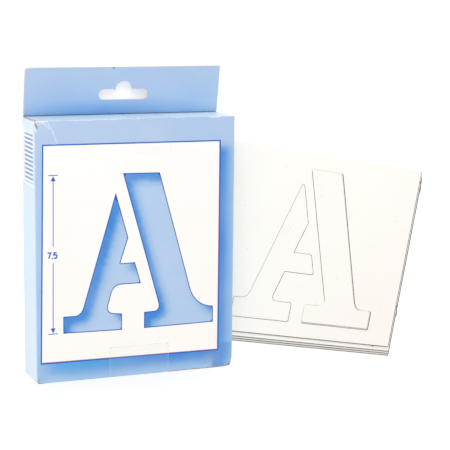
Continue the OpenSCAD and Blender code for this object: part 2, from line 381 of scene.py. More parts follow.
# the blue print on the carton, with airbrushed dark parts and worn folds
print("materials")
printLook = {
    "blue": "#ACC4E4",
    "lowBlue": "#9FC2E7",
    "glowMid": "#79AADC",
    "glow": "#277FD2",
    "glowLeft": "#379BDD",
    # the paler blue of the lid and the walls is painted light on faces turned to the lamps
    "pale": "#DDF0FF",
    "cloud": "#FFFFFF",
    "grain": "#6F8FC4",
    "wornPaper": "#F4F6F8",
    "wornBrown": "#B08A62",
    "roughness": (0.41, 0.29),
    "specular": 0.42,
    "fibreScale": 2600,
    # finishes of the marks as (colour, strength, least share of it)
    "finishes": {
        "pale": ("#FFFFFF", 0.36, 0.5),
        "brown": ("#B08A62", 0.85, 0.25),
        # dark also gives the painted shade in the lid's slit
        "dark": ("#5B5348", 0.95, 0.5),
        "stain": ("#93A2B4", 0.34, 0.3),
    },
    # marks as (start, end, width, finish), in the carton's millimetres; with no z they lie on the front:
    # worn brown lines, a stain, pale lines along the crease and the top left corner, dark lines at the
    # corners, and a painted shade line in the lid's slit
    "marks": [
        ((5.2, 115.3), (7.9, 110.3), 0.42, "pale"),
        ((7.9, 110.3), (9.4, 106.0), 0.36, "pale"),
        ((0.1, 114.6), (0.9, 112.6), 0.62, "dark"),
        ((0.9, 114.2), (3.6, 114.6), 0.45, "pale"),
        ((3.6, 114.6), (6.2, 112.2), 0.45, "pale"),
        # painted shade: a dark line along the lid's left edge stands for the shadow in the slit between the
        # lid and the side flap
        ((0.25, 115.6, 1.6), (0.4, 115.5, 21.6), 0.5, "dark"),
        ((0.4, 0.4), (0.9, 2.4), 0.4, "brown"),
        ((0.3, 0.0), (2.2, 0.0), 0.45, "dark"),
        ((61.0, 0.0), (90.6, 0.3), 0.6, "brown"),
        ((90.0, 0.3), (91.4, 2.0), 0.6, "dark"),
        ((78.6, 4.4), (83.6, 4.0), 3.0, "stain"),
        ((40.6, 136.6, 5.0), (40.7, 137.2, 5.2), 0.9, "dark"),
    ],
}


def markNode(spot, start, end, width):
    # 1 along a short line, fading out over its width
    way = Vector(end) - Vector(start)
    away = vectorMaths("SUBTRACT", spot, start).outputs[0]
    along = vectorMaths("DOT_PRODUCT", away, way / way.length_squared).outputs["Value"]
    foot = vectorMaths("SCALE", way)
    feed(foot.inputs["Scale"], maths("MULTIPLY", along, 1.0, clamp=True))
    gap = vectorMaths("DISTANCE", away, foot.outputs[0]).outputs["Value"]
    return spread(gap, 1.0, 0.0, width * 0.3, width)


def airbrush(share, paper, dark):
    # from the plain print through a clear middle tone to the dark one
    middle = mix(maths("MULTIPLY", share, 2.0, clamp=True), paper, printLook["glowMid"])
    return mix(maths("MULTIPLY_ADD", share, 2.0, -1.0, clamp=True), middle, dark)


def makePrintedBoard():
    startMaterial("printedBoard")
    where = spotNode()
    broad = noiseNode(where, 28)
    fibres = paperFibres(printLook["fibreScale"])
    base = mix(readShade("low"), printLook["blue"], printLook["lowBlue"])
    base = mix(readShade("pale"), base, printLook["pale"])
    glow = mix(readShade("leftTint"), printLook["glow"], printLook["glowLeft"])
    base = airbrush(readShade("glow"), base, glow)
    base = mix(spread(broad, 0.0, 0.10, 0.3, 0.75), base, printLook["cloud"])
    base = mix(spread(fibres, 0.05, 0.0, 0.35, 0.6), base, printLook["grain"])
    # wear: the coating is rubbed off near the folds, and brown board shows where it is worst
    ragged = noiseNode(where, 900, 4, 0.7)
    patchy = noiseNode(where, 110, 3, 0.6)
    reach = times(times(ragged, spread(patchy, 0.15, 1.5, 0.35, 0.7)), readShade("wear"))
    worn = spread(maths("SUBTRACT", reach, readShade("foldGap")), 0.0, 0.8, 0.0, 0.16)
    base = mix(worn, base, printLook["wornPaper"])
    brown = times(readShade("brown"), spread(ragged, 0.0, 0.9, 0.38, 0.6))
    base = mix(brown, base, printLook["wornBrown"])
    spot = spotNode(move=cartonPlace.inverted().to_translation(), turn=(0, math.radians(carton["tilt"]), 0),
                    scale=(1 / mm, 1 / mm, 1 / mm))
    # the marks: worn, stained, pale and dark lines, and the painted shade in the lid's slit
    for start, end, width, finish in printLook["marks"]:
        colour, strength, least = printLook["finishes"][finish]
        ends = [point if len(point) == 3 else (*point, boxDepth + frontRise(*point))
                for point in (start, end)]
        uneven = spread(ragged, least * strength, strength, 0.36, 0.52)
        base = mix(times(markNode(spot, *ends, width), uneven), base, colour)
    roughness = spread(fibres, *printLook["roughness"], 0.3, 0.7)
    relief = maths("ADD", fibres, times(broad, 0.5))
    return finishMaterial(base, roughness, printLook["specular"], relief, 0.04, 0.35)


bareLook = {"dark": "#C9C2B4", "light": "#E6E1D6", "fleck": "#8E8068", "fibreScale": 1500}


def makeBareBoard():
    startMaterial("bareBoard")
    fibres = paperFibres(bareLook["fibreScale"])
    base = twoTone(fibres, bareLook["dark"], bareLook["light"], 0.3, 0.68)
    base = mix(times(speckNode(spotNode(), 640, 0.2, "3D"), 0.35), base, bareLook["fleck"])
    return finishMaterial(base, 0.86, 0.2, fibres, 0.06, 0.5)


panelLook = {"warm": "#FCF7F3", "pale": "#FEF9F5", "grain": "#B9B4AE", "speck": "#8A8A92"}


def makePanelPaper():
    startMaterial("panelPaper")
    where = spotNode()
    fibres = paperFibres(printLook["fibreScale"])
    base = twoTone(noiseNode(where, 24), panelLook["warm"], panelLook["pale"])
    base = mix(spread(fibres, 0.05, 0.0, 0.3, 0.55), base, panelLook["grain"])
    base = mix(times(speckNode(where, 47, 0.011), 0.4), base, panelLook["speck"])
    return finishMaterial(base, 0.36, 0.4, fibres, 0.03, 0.3)


inkLook = {"plain": "#B0C9E8", "cloud": "#D5E2F3", "line": "#0C50AA", "grain": "#5C7CB0"}


def makeLetterInk():
    startMaterial("letterInk")
    fibres = paperFibres(printLook["fibreScale"])
    base = airbrush(readShade("inkShade"), inkLook["plain"], printLook["glow"])
    base = mix(spread(noiseNode(spotNode(), 60), 0.0, 0.12, 0.35, 0.7), base, inkLook["cloud"])
    base = mix(spread(readShade("edgeGap"), 1.0, 0.0, 0.3, 0.52), base, inkLook["line"])
    base = mix(spread(fibres, 0.06, 0.0, 0.3, 0.55), base, inkLook["grain"])
    return finishMaterial(base, 0.36, 0.42, fibres, 0.03, 0.3)


def makePlain(name, tones, fibreScale, roughness, specular, depth, strength):
    startMaterial(name)
    fibres = paperFibres(fibreScale)
    return finishMaterial(twoTone(fibres, *tones), roughness, specular, fibres, depth, strength)


def makeClearTape():
    startMaterial("clearTape")
    ripple = noiseNode(spotNode(scale=(1, 0.3, 1)), 160)
    dust = noiseNode(spotNode(), 1400, 3, 0.7)
    rim = spread(readShade("edgeGap"), 0.30, 0.0, 0.08, 0.42)
    film = times(maths("ADD", rim, spread(dust, 0.045, 0.055, 0.4, 0.7)), readShade("film"))
    return finishMaterial(twoTone(dust, "#F1F4F7", "#D9DEE4", 0.5, 0.75),
                          spread(dust, 0.12, 0.17, 0.4, 0.75), 0.5, ripple, 0.05, 0.12,
                          {"Alpha": film, "IOR": 1.48})


def makeLabelPaper():
    startMaterial("labelPaper")
    fibres = paperFibres(2400)
    wave = maths("FRACT", maths("DIVIDE", readShade("along"), tape["barPitch"]))
    bars = times(maths("GREATER_THAN", wave, 0.52), readShade("barField"))
    base = mix(times(bars, 0.85), twoTone(fibres, "#FBFCFE", "#FFFFFF"), "#4C86D2")
    return finishMaterial(base, 0.5, 0.35, fibres, 0.03, 0.3)


cardLook = {
    "paper": "#FFFDF6",
    # the darker, warmer tone that the painted shade reaches at the lower right
    "warm": "#FFF8F3",
    "cloud": "#F4ECE2",
    "fibre": "#E4DED4",
    "eachTone": "#F4EDE3",
    # dark tone of the card sides that face away from the key lamp, and of the painted shadow along the pile
    # cards' lower and right rims
    "cut": "#3D3C39",
    # tone of the sides that face the key lamp (painted light), and of the sides of single paler cards
    "paleCut": "#E4DFD6",
    # width of the painted shadow line along the pile cards' lower and right rims
    "rim": 0.44,
    "speck": "#8B867C",
    "fibreScale": 1900,
    "speckSpacing": 46,
}


def pileRimShade(where, shift):
    # painted shade: 1 along the lower and right rims of a card of the pile, a dark line that stands for the
    # shadow at the card's edge, found from its place in the pile
    turned = axes(mapped(where, turn=(0, 0, math.radians(card["turn"]))))
    gaps = []
    for axis, size, move, way in zip("XY", (card["width"], card["height"]), shift, (1, -1)):
        across = times(maths("SUBTRACT", turned[axis], move * mm), way)
        gaps.append(maths("SUBTRACT", size / 2 * mm, across))
    return spread(maths("MINIMUM", *gaps), 1.0, 0.0, cardLook["rim"] * 0.6 * mm, cardLook["rim"] * mm)


def makeCardStock(name, paper, warm, cuts, shift=None):
    # cuts holds the tone of the card's sides where they face away from the key lamp (painted shade), the
    # tone where they face it (painted light), and how much paler single cards can be there
    shadedSideTone, paleCut, variation = cuts
    startMaterial(name)
    where = spotNode()
    fibres = paperFibres(cardLook["fibreScale"])
    spot = axes(where)
    # painted shade: the stock grows darker and warmer towards the lower right, by its place in the world, on
    # every card alike
    base = twoTone(maths("SUBTRACT", spot["X"], spot["Y"]), paper, warm, -0.01, 0.085)
    base = mix(spread(noiseNode(where, 45, 4), 0.0, 0.10, 0.45, 0.75), base, cardLook["cloud"])
    base = mix(spread(fibres, 0.12, 0.0, 0.3, 0.5), base, cardLook["fibre"])
    some = spread(noiseNode(where, 31, 2), 0.0, 1.0, 0.47, 0.53)
    specks = times(speckNode(where, cardLook["speckSpacing"], 0.012), some)
    base = mix(times(specks, 0.55), base, cardLook["speck"])
    each = addNode("ObjectInfo").outputs["Random"]
    base = mix(times(each, 0.06), base, cardLook["eachTone"])
    # painted light and shade: the card's sides are grey, darker than the stock itself as painted shade,
    # paler where they face +y towards the key lamp and darker where they face away
    facing = axes(addNode("TexCoord").outputs["Normal"])
    side = spread(maths("ABSOLUTE", facing["Z"]), 1.0, 0.0, 0.35, 0.75)
    cut = mix(spread(facing["Y"], 0.0, 1.0, -0.3, 0.3), shadedSideTone, paleCut)
    cut = mix(times(each, variation), cut, cardLook["paleCut"])
    base = mix(times(side, 0.9), base, cut)
    # painted shadow along the lower and right rims of the pile's cards
    if shift:
        base = mix(times(pileRimShade(where, shift), 0.92), base, cardLook["cut"])
    return finishMaterial(base, spread(fibres, 0.78, 0.66, 0.3, 0.7), 0.22, fibres, 0.05, 0.4,
                          {"Sheen Weight": 0.06})


def makeFloor():
    startMaterial("floorWhite")
    grain = noiseNode(spotNode(), 4, 2)
    feedNamed(work["nodes"]["Principled BSDF"], {
        "Base Color": twoTone(grain, "#E6E6E6", "#E9E9E9"),
        "Roughness": 0.95,
        "Specular IOR Level": 0.0,
        "Emission Color": (1.0, 1.0, 1.0, 1.0),
        "Emission Strength": times(seenDirectly(), 0.42),
    })
    return work["owner"]


printedBoard = makePrintedBoard()
bareBoard = makeBareBoard()
panelPaper = makePanelPaper()
letterInk = makeLetterInk()
plainLooks = {
    # two tones, scale of the fibres, roughness, specular, depth and strength of the relief
    "lineInk": (("#045AB6", "#0E69C6"), 2200, 0.38, 0.42, 0.03, 0.3),
    "redInk": (("#D5655F", "#DE7A74"), 2200, 0.38, 0.42, 0.03, 0.3),
    # near-black painted shade for the walls of the letter openings in the top card, standing in for the
    # shadow in the narrow gaps
    "cutKerf": (("#22201D", "#34322F"), 2100, 0.9, 0.1, 0.05, 0.4),
}
lineInk, redInk, cutKerf = (makePlain(name, *look) for name, look in plainLooks.items())
clearTape = makeClearTape()
boardSides = [printedBoard, bareBoard]

# carton shell: four walls round the cards, bent from one blank
print("carton shell")
glowLook = {
    "from": 85.15,      # the right side of the printed panel
    "rightReach": 5.0,
    "lowFrom": 8.3,
    "lowReach": 5.3,
    "strength": 0.97,
}


def frontGlow(x, y):
    # airbrushed shadow of the printed panel, to its right and below it; it starts a little under the panel
    def fade(away, reach, power):
        return smooth(-3.4, -2.6, away) * math.exp(-(max(away, 0.0) / reach) ** power)

    right = fade(x - glowLook["from"], glowLook["rightReach"], 2.2)
    right *= (1 - smooth(99.5, 104.5, y)) * (0.93 + 0.07 * smooth(10.0, 60.0, y))
    low = fade(glowLook["lowFrom"] - y, glowLook["lowReach"], 2.8)
    low *= smooth(0.0, 9.0, x) * (1 - 0.6 * smooth(86.0, 92.0, x))
    left = 0.25 * smooth(30.0, 3.0, y) * smooth(4.0, 2.6, x)
    return glowLook["strength"] * (1 - (1 - right) * (1 - low) * (1 - left))


def wearFront(x, y):
    amount = 0.10 + 0.22 * smooth(8.0, 0.0, x)
    amount += 0.5 * (1 - smooth(0.0, 6.0, boxHeight - y))
    amount += 0.3 * (1 - smooth(0.0, 5.0, y)) * smooth(35, 60, x)
    return amount + 0.8 * near(x, y, 0, boxHeight, 24) + 0.35 * near(x, y, boxWidth, 0, 20)


def brownFront(x, y):
    brown = 0.3 * near(x, y, 0.9, boxHeight - 0.9, 1.2) + 0.35 * smooth(0.8, 0.1, y) * smooth(42, 50, x)
    return min(brown, 1.0)


def shellProfile(inset):
    # the section of the carton, counted round from the front's left fold, as (x, z)
    radius = carton["foldRadius"] - inset
    low = inset + radius
    highX, highZ = boxWidth - inset - radius, boxDepth - inset - radius
    corners = [(low, highZ, 180), (highX, highZ, 90), (highX, low, 0), (low, low, -90)]
    bends = [arc(x, z, radius, angle, angle - 90, 6) for x, z, angle in corners]
    profile = []
    for k, count in enumerate((44, 12, 44, 12)):
        profile += bends[k] + run(bends[k][-1], bends[(k + 1) % 4][0], 1, count)
    return profile


def wallBow(y, z):
    return carton["bow"] * swell(y, z, boxHeight, boxDepth)


def shellSpot(x, y, z, inset):
    newZ = z + frontRise(x, y) * smooth(boxDepth * 0.5, boxDepth - inset - 0.05, z)
    bow = wallBow(y, z)
    newX = x - bow * smooth(3.0, inset, x) + bow * smooth(boxWidth - 3.0, boxWidth - inset, x)
    # the lower right corner is pushed in
    knock = carton["knock"] * near(x, y, boxWidth, 0, 5) * smooth(boxDepth - 5, boxDepth, z)
    return (newX - knock, y + 0.7 * knock, newZ)


def buildShell():
    rows = sorted([i / 64 for i in range(65)] + [0.004, 0.010, 0.990, 0.996])
    names = ("glow", "pale", "low", "foldGap", "leftTint", "wear", "brown")
    vertices, shades = [], {name: [] for name in names}
    for inset in (0.0, board):
        profile = shellProfile(inset)
        for share in rows:
            for x, z in profile:
                panel = max(smooth(boxDepth - 0.8, boxDepth - 0.5, z), smooth(0.8, 0.5, z))
                stop = carton["wallBack"] * (1 - panel)
                y = stop + (boxHeight - 2 * stop) * share
                vertices.append(shellSpot(x, y, z, inset))
                front = smooth(boxDepth - 1.2, boxDepth - 0.3, z)
                side = smooth(boxDepth - 0.3, boxDepth - 1.5, z)
                gap = max(min(x, boxWidth - x), min(boxDepth - z, z)) if inset == 0 else 9.0
                # pale is painted light: the walls and back are painted paler, fully left of the middle and
                # less right of it, as faces lit from the left
                values = (front * frontGlow(x, y), side * (1.0 if x < boxWidth / 2 else 0.45),
                          smooth(boxHeight, boxHeight * 0.3, y),
                          min(gap, y - stop, boxHeight - stop - y, 9.0),
                          smooth(70, 15, x) * smooth(30, 8, y), wearFront(x, y), front * brownFront(x, y))
                for name, value in zip(names, values):
                    shades[name].append(value)
    across, along = len(profile), len(rows)
    half, top = across * along, across * (along - 1)
    faces, slots = [], []
    for i in range(across):
        k = (i + 1) % across
        for low in range(0, top, across):
            a, b = low + i, low + k
            faces += [(a, b, b + across, a + across),
                      (a + half, a + half + across, b + half + across, b + half)]
            slots += [0, 1]
        faces += [(k, i, i + half, k + half), (top + i, top + k, top + k + half, top + i + half)]
        slots += [0, 0]
    return addPiece("cartonShell", vertices, faces, cartonPlace, boardSides, slots, shades, 50)


register(buildShell(), "printed_board", "carton", "front_panel", "back_panel", "left_wall", "right_wall")

# end flaps, each folded from a flat outline with its tongue
print("end flaps")
flap = {
    "side": 0.1,
    "length": 20.799,
    "tongue": 8.0,
    "tongueInset": 3.0,
    "tongueRound": 4.0,
    "lean": 16.0,
    "drop": 0.637819,
    "bend": 0.8,
    "flex": 0.12,
    "foldRows": (0.3, 0.7, 19.6, 20.0, 20.3, 20.6, 20.9, 21.2, 21.6),
}


def foldPath(corners, radius):
    # a line through the corners with round bends: gives (point, outward normal) at a distance along it
    corners = [Vector(corner) for corner in corners]
    pieces = []             # as (start, way, length, turn)
    position = corners[0]
    for last, here, following in zip(corners, corners[1:], corners[2:] + [None]):
        way = (here - last).normalized()
        if following is None:
            pieces.append((position, way, (here - position).length, 0.0))
            break
        nextWay = (following - here).normalized()
        turn = way.angle_signed(nextWay)
        cutBack = radius * math.tan(abs(turn) / 2)
        stop = here - way * cutBack
        pieces += [(position, way, (stop - position).length, 0.0), (stop, way, radius * abs(turn), turn)]
        position = here + nextWay * cutBack

    def at(distance):
        left = distance
        for index, (start, way, length, turn) in enumerate(pieces):
            if left <= length or index == len(pieces) - 1:
                break
            left -= length
        if not turn:
            return start + way * left, Vector((-way.y, way.x))
        side = math.copysign(radius, turn)
        centre = start + Vector((way.y, -way.x)) * side
        bend = Matrix.Rotation(-left / side, 2)
        newWay = bend @ way
        return centre + bend @ (start - centre), Vector((-newWay.y, newWay.x))

    return at, sum(piece[2] for piece in pieces)


def flapOutline(total):
    # flat outline of a flap and its tongue: x across, y down from the fold
    inset, radius, side = flap["tongueInset"], flap["tongueRound"], flap["side"]
    right = boxWidth - inset
    start = flap["length"] + 0.1
    loop = [(side, 0.0), (side, start - 1.2), (side + 1.2, start), (inset, start)]
    loop += arc(inset + radius, total - radius, radius, -180, -270, 8)
    loop += arc(right - radius, total - radius, radius, -270, -360, 8)
    farSide = boxWidth - side
    loop += [(right, start), (farSide - 1.2, start), (farSide, start - 1.2), (farSide, 0.0)]
    return loop[::-1]


def flapFlex(x, y):
    # how far an end flap lies in at its middle
    return -flap["flex"] * swell(x, min(y, flap["length"]), boxWidth, flap["length"])


lean = math.radians(flap["lean"])
tongueRoot = -flap["length"] - flap["drop"] * math.tan(lean)
tongueEnd = (-flap["drop"] - flap["tongue"] * math.cos(lean),
             -flap["length"] + flap["tongue"] * math.sin(lean))
flapAt, flapTotal = foldPath([(0.0, 0.0), (0.0, tongueRoot), tongueEnd], flap["bend"])


def buildFlap(name, place, dentAtFold, pale, body, *nodes):
    def spot(x, y, side):
        point, normal = flapAt(y)
        out = board * (1 - side)
        sag = min(0.0, frontRise(x, boxHeight)) * smooth(6.0, 0.0, y) if dentAtFold else 0.0
        across = point.x - normal.x * out + (flapFlex(x, y) if y < flap["length"] else 0.0)
        return (x, across, point.y - normal.y * out + sag)

    shades = {
        "glow": 0.0,
        "leftTint": 0.0,
        # pale is painted light: the flap is painted paler as a face lit by the lamps, a little less towards
        # its left side
        "pale": lambda x, y: pale * (1 - 0.25 * smooth(50, 5, x)),
        "low": 0.0,
        "foldGap": lambda x, y: min(y, abs(y - flap["length"] - 0.3), x, boxWidth - x, 9.0),
        "wear": 0.55,
        "brown": lambda x, y: 0.5 * near(x, y, 0, 0, 6) if dentAtFold else 0.0,
    }
    register(sheet(name, [flapOutline(flapTotal)], place, spot, boardSides, 2.2, shades, lowSlot=1,
                   rows=flap["foldRows"]), "printed_board", body, *nodes)


topEnd = cartonPlace @ Matrix.Translation((0, boxHeight, boxDepth - board))
lowEnd = (cartonPlace @ Matrix.Translation((0, 0, board))
          @ Matrix.Scale(-1, 4, (0, 1, 0)) @ Matrix.Scale(-1, 4, (0, 0, 1)))
# the lid is painted fully pale as a lit face and the lower flap less: painted light
buildFlap("topEndFlap", topEnd, True, 1.0, "top_closure", "top_lid", "top_tongue")
buildFlap("lowerEndFlap", lowEnd, False, 0.35, "bottom_closure", "bottom_flap", "bottom_tongue")

# hang tab: two layers of board, with the slot through both
print("hang tab")
tab = {
    "height": 22.0,
    "side": 0.5,
    "lean": 11.0,
    "rearFrom": 0.0,
    "frontFrom": 0.6,
    "creaseTo": 0.8,
    "slotLength": 23.4,
    "slotWidth": 5.0,
    "slotY": 9.4,
    "bumpSize": 8.2,
    "bumpTop": 15.5,
    "chip": 1.1,
}
tabPlace = (cartonPlace @ Matrix.Translation((0, boxHeight, 0))
            @ Matrix.Rotation(math.radians(tab["lean"]), 4, "X"))


def slotOutline():
    middle, low, end = boxWidth / 2, tab["slotY"], tab["slotWidth"] / 2
    reach = tab["slotLength"] / 2 - end
    bump = tab["bumpSize"] / 2
    loop = arc(middle - reach, low, end, 90, 270, 12) + arc(middle + reach, low, end, -90, 90, 12)
    loop += [(middle + bump + 0.5, low + end), (middle + bump, low + end + 0.5)]
    loop += arc(middle, tab["bumpTop"] - bump, bump, 0, 180, 16)
    return loop + [(middle - bump, low + end + 0.5), (middle - bump - 0.5, low + end)]


def tabOutline(low):
    left, right, top = tab["side"], boxWidth - tab["side"], tab["height"]
    chip = tab["chip"]
    return [(left, low), (right, low), (right, top - 0.3), (right - 0.3, top),
            (left + chip, top), (left + chip * 0.6, top - chip * 0.3), (left + 0.2, top - chip * 0.55),
            (left, top - chip)]


def tabGlow(x, y):
    # strongest at the middle of the fold
    hill = max(1 - ((x - 43.0) / 40.0) ** 2, 0.0)
    return (0.25 + 0.5 * hill) * smooth(1.1, 0.0, y / (5.0 + 4.0 * math.sqrt(hill)))


tabShades = {
    "glow": tabGlow,
    "leftTint": 0.35,
    "pale": 0.0,
    "low": lambda x, y: smooth(22.0, 0.0, y) * 0.7,
    "foldGap": lambda x, y: min(x - tab["side"], boxWidth - tab["side"] - x, tab["height"] - y, 9.0),
    "wear": lambda x, y: 0.12 + 0.9 * near(x, y, 1, 22, 5),
    "brown": 0.0,
}


def tabLayer(name, start, low, **settings):
    def spot(x, y, side):
        lift = 0.35 * math.sin(math.pi * x / boxWidth) * (y / tab["height"]) ** 2
        return (x, y, low + board * side + lift)

    return sheet(name, [tabOutline(start), slotOutline()], tabPlace, spot, boardSides, shades=tabShades,
                 edgeSlot=1, **settings)


tabRear = tabLayer("hangTabRear", tab["rearFrom"], 0.0, rows=(0.2, 0.4, 0.6, 0.8))
tabFront = tabLayer("hangTabFront", tab["frontFrom"], board, lowSlot=1)
register(tabRear, "printed_board", None, "hang_tab_rear")
register(tabFront, "printed_board", "hang_tab", "hang_tab_front")
creaseStart, creaseEnd = (tabPlace @ Vector((boxWidth / 2, y, 0.0)) for y in (0.0, tab["creaseTo"]))
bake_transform(tabRear)
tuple(creaseStart)
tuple(creaseEnd)

# print on the front: the panel, its border, the letter and the dimension line
print("front print")
art = {
    "panel": ((1.4, 8.65), (85.1, 8.05), (85.2, 105.05), (2.95, 105.4)),
    "border": 0.6,
    "redEdge": 0.2,         # the red plate stands a little off the blue one at the right and below
    "lineX": 7.1,
    "lineLean": 0.6,        # how far the top of the line stands to the right of its foot
    "lineTop": 92.0,
    "lineLow": 22.0,
    "gapTop": 61.0,
    "gapLow": 53.6,
    "tick": 2.15,
    "stroke": 0.36,
    "arrow": 1.1,
    "digitHeight": 2.5,
    "digitStroke": 0.62,
    "digitsFrom": 4.9,
    "digitsLow": 55.7,
    "paperLift": 0.02,
    "inkLift": 0.035,
    "fineLift": 0.05,
    "shadeFrom": (3.7, 3.7),
    "shadeReach": 2.6,
}


def onFront(lift, under=0.12):
    def spot(x, y, side):
        return (x, y, boxDepth + frontRise(x, y) + (lift if side else -under))
    return spot


def inner(amount):
    # the panel's outline moved in by an amount
    ways = ((1, 1), (-1, 1), (-1, -1), (1, -1))
    return [(x + amount * a, y + amount * b) for (x, y), (a, b) in zip(art["panel"], ways)]


panelLoop = list(art["panel"])
edgeIn = inner(art["border"])
redIn = inner(art["border"] + art["redEdge"])
decals = [sheet(name, loops, cartonPlace, onFront(lift), [finish]) for name, loops, lift, finish in (
    ("printedPanel", [panelLoop], art["paperLift"], panelPaper),
    ("panelBorder", [panelLoop, edgeIn], art["inkLift"], lineInk),
    ("redEdgeRight", [[redIn[1], edgeIn[1], edgeIn[2], redIn[2]]], art["inkLift"], redInk),
    ("redEdgeLow", [[edgeIn[0], edgeIn[1], redIn[1], redIn[0]]], art["inkLift"], redInk),
)]
printedRight = ([(39.1, 91.8), (56.2, 91.5)] + curve((70.9, 38.3), (73.5, 29.9), (82.1, 29.2))
                + [(82.1, 21.7), (49.0, 21.4), (49.0, 28.8)]
                + curve((53.8, 29.0), (56.8, 29.2), (55.4, 33.7)))[::-1]
printedLeft = ([(35.8, 83.4), (41.5, 63.0), (37.8, 51.7), (44.6, 51.8), (47.4, 42.1)]
               + curve((38.2, 42.1), (34.8, 42.0), (33.7, 38.4))
               + curve((32.1, 32.6), (31.6, 29.8), (34.9, 29.3))
               + [(38.6, 28.9), (38.6, 21.4), (11.7, 21.8), (11.7, 29.4)]
               + curve((17.5, 29.4), (20.2, 30.0), (21.1, 33.8)))[::-1]


def gapTo(loop):
    return lambda x, y: toOutline(x, y, [loop])


def inkShade(loop):
    # dark along the left and upper sides, like a soft shadow cast from the paper round it
    reach, ring = art["shadeReach"], []
    for radius, weight, count in ((0.0, 1.0, 1), (0.55, 2.2, 10), (1.15, 3.0, 10), (1.8, 2.0, 10)):
        for k in range(count):
            angle = 2 * math.pi * (k + 0.5 * radius) / count
            ring.append((radius * reach * math.cos(angle), radius * reach * math.sin(angle), weight / count))
    whole = sum(weight for _, _, weight in ring)

    def shade(x, y):
        fromX, fromY = x - art["shadeFrom"][0], y + art["shadeFrom"][1]
        out = sum(weight for dx, dy, weight in ring if not inside(fromX + dx, fromY + dy, [loop]))
        return min(1.25 * (out / whole) ** 1.3, 0.96)
    return shade


for side, loop in (("Right", printedRight), ("Left", printedLeft)):
    shades = {"inkShade": inkShade(loop), "edgeGap": gapTo(loop)}
    decals.append(sheet(f"printedLetter{side}", [loop], cartonPlace, onFront(art["inkLift"]), [letterInk],
                        1.1, shades))


def strokeLoop(points, width):
    # an outline round an open line of straight strokes
    points = [Vector(point) for point in points]
    sides = [], []
    for i, point in enumerate(points):
        before = point - points[i - 1] if i else points[1] - point
        after = points[i + 1] - point if i < len(points) - 1 else before
        before.normalize()
        after.normalize()
        way = (before + after).normalized()
        normal = Vector((-way.y, way.x))
        reach = width / 2 / max(normal.dot(Vector((-before.y, before.x))), 0.5)
        for side, sign in zip(sides, (1, -1)):
            side.append(tuple(point + normal * reach * sign))
    return sides[1] + sides[0][::-1]


def dimensionLoops():
    stroke, arrow, tick = art["stroke"] / 2, art["arrow"], art["tick"]
    top, low = art["lineTop"], art["lineLow"]

    def at(y, aside):
        # a point beside the leaning line
        return (art["lineX"] + art["lineLean"] * (y - low) / (top - low) + aside, y)

    loops = []
    for end, gap, way in ((top, art["gapTop"], 1), (low, art["gapLow"], -1)):
        tip = end - way * 0.25
        shaft = tip - way * 2.3
        lower, upper = sorted((gap, shaft))
        loops += [
            [at(lower, -stroke), at(lower, stroke), at(upper, stroke), at(upper, -stroke)],
            [at(shaft, -arrow), at(shaft, arrow), at(tip, 0)][::way],
            strip(at(end, -tick)[0], end - stroke, 2 * tick, 2 * stroke),
        ]
    return loops


def digitLoops():
    tall, stroke = art["digitHeight"], art["digitStroke"]
    wide = tall * 0.56
    seven = [(0, tall), (wide, tall), (wide * 0.38, 0)]
    five = [(wide * 0.95, tall), (wide * 0.14, tall)]
    five += curve((wide * 0.08, tall * 0.58), (wide * 1.05, tall * 0.78), (wide, tall * 0.33), 6)
    five += curve((wide, tall * 0.33), (wide * 0.95, -tall * 0.08), (0, tall * 0.06), 6)[1:]
    point = strip(wide + 0.35, -stroke / 2, stroke, stroke)
    five = [(wide + 1.35 + x, y) for x, y in five]
    return [[(art["digitsFrom"] + x, art["digitsLow"] + y) for x, y in loop]
            for loop in (strokeLoop(seven, stroke), point, strokeLoop(five, stroke))]


for name, loops, cell in (("dimensionLine", dimensionLoops(), 2), ("dimensionNumber", digitLoops(), 1)):
    decals += [sheet(f"{name}{index}", [loop], cartonPlace, onFront(art["fineLift"]), [lineInk], cell)
               for index, loop in enumerate(loops)]
for piece in decals:
    register(piece, "printed_board", "carton")

# label and clear tapes
print("label and tapes")
tape = {
    "film": 0.1,
    "topX": 44.8,
    "topWidth": 16.6,
    "topLength": 15.0,
    "lowX": 32.9,
    "lowWidth": 27.8,
    "lowLength": 13.8,
    "slit": 0.5,
    "labelHeight": 24.5,
    "labelWidth": 17.4,
    "labelBack": 1.2,
    "labelDrop": 4.5,
    "barPitch": 1.9,
}
labelPaper = makeLabelPaper()


def addTape(name, node, body, place, spot, loop, shown=1.0):
    # shown is how much of the film can be seen
    shades = {"edgeGap": gapTo(loop), "film": shown}
    register(sheet(name, [loop], place, spot, [clearTape], 1.5, shades), "clear_tape", body, node)


def lowTapeSpot(x, y, side):
    # over the front, then round the lower fold
    film = tape["film"]
    if y >= 0:
        return (x, y, boxDepth + frontRise(x, y) + (film if side else 0.06))
    return (x, -film if side else -0.02, boxDepth + frontRise(x, 0) + film + y)


def endTapeSpot(x, y, side):
    return (x, flapFlex(x, y) + (tape["film"] if side else 0.02), -y)


slit, topLength, lowLength = tape["slit"], tape["topLength"], tape["lowLength"]
addTape("topTapeFront", "top_tape_front", "carton", cartonPlace, onFront(tape["film"], -0.06),
        strip(tape["topX"], boxHeight - slit - topLength, tape["topWidth"], topLength), 0.3)
addTape("lowerTapeFront", "bottom_tape_front", "carton", cartonPlace, lowTapeSpot,
        strip(tape["lowX"], -0.6, tape["lowWidth"], lowLength + 0.6), 0.65)
addTape("topTapeLid", "top_tape_lid", "top_closure", topEnd, endTapeSpot,
        strip(tape["topX"], slit, tape["topWidth"], flap["length"] - flap["bend"] - slit)[::-1])
addTape("lowerTapeFlap", "bottom_tape_flap", "bottom_closure", lowEnd, endTapeSpot,
        strip(tape["lowX"], slit, tape["lowWidth"], lowLength - slit)[::-1])
labelLow = boxHeight - tape["labelDrop"] - tape["labelHeight"]
labelLoop = strip(labelLow, tape["labelBack"], tape["labelHeight"], tape["labelWidth"])


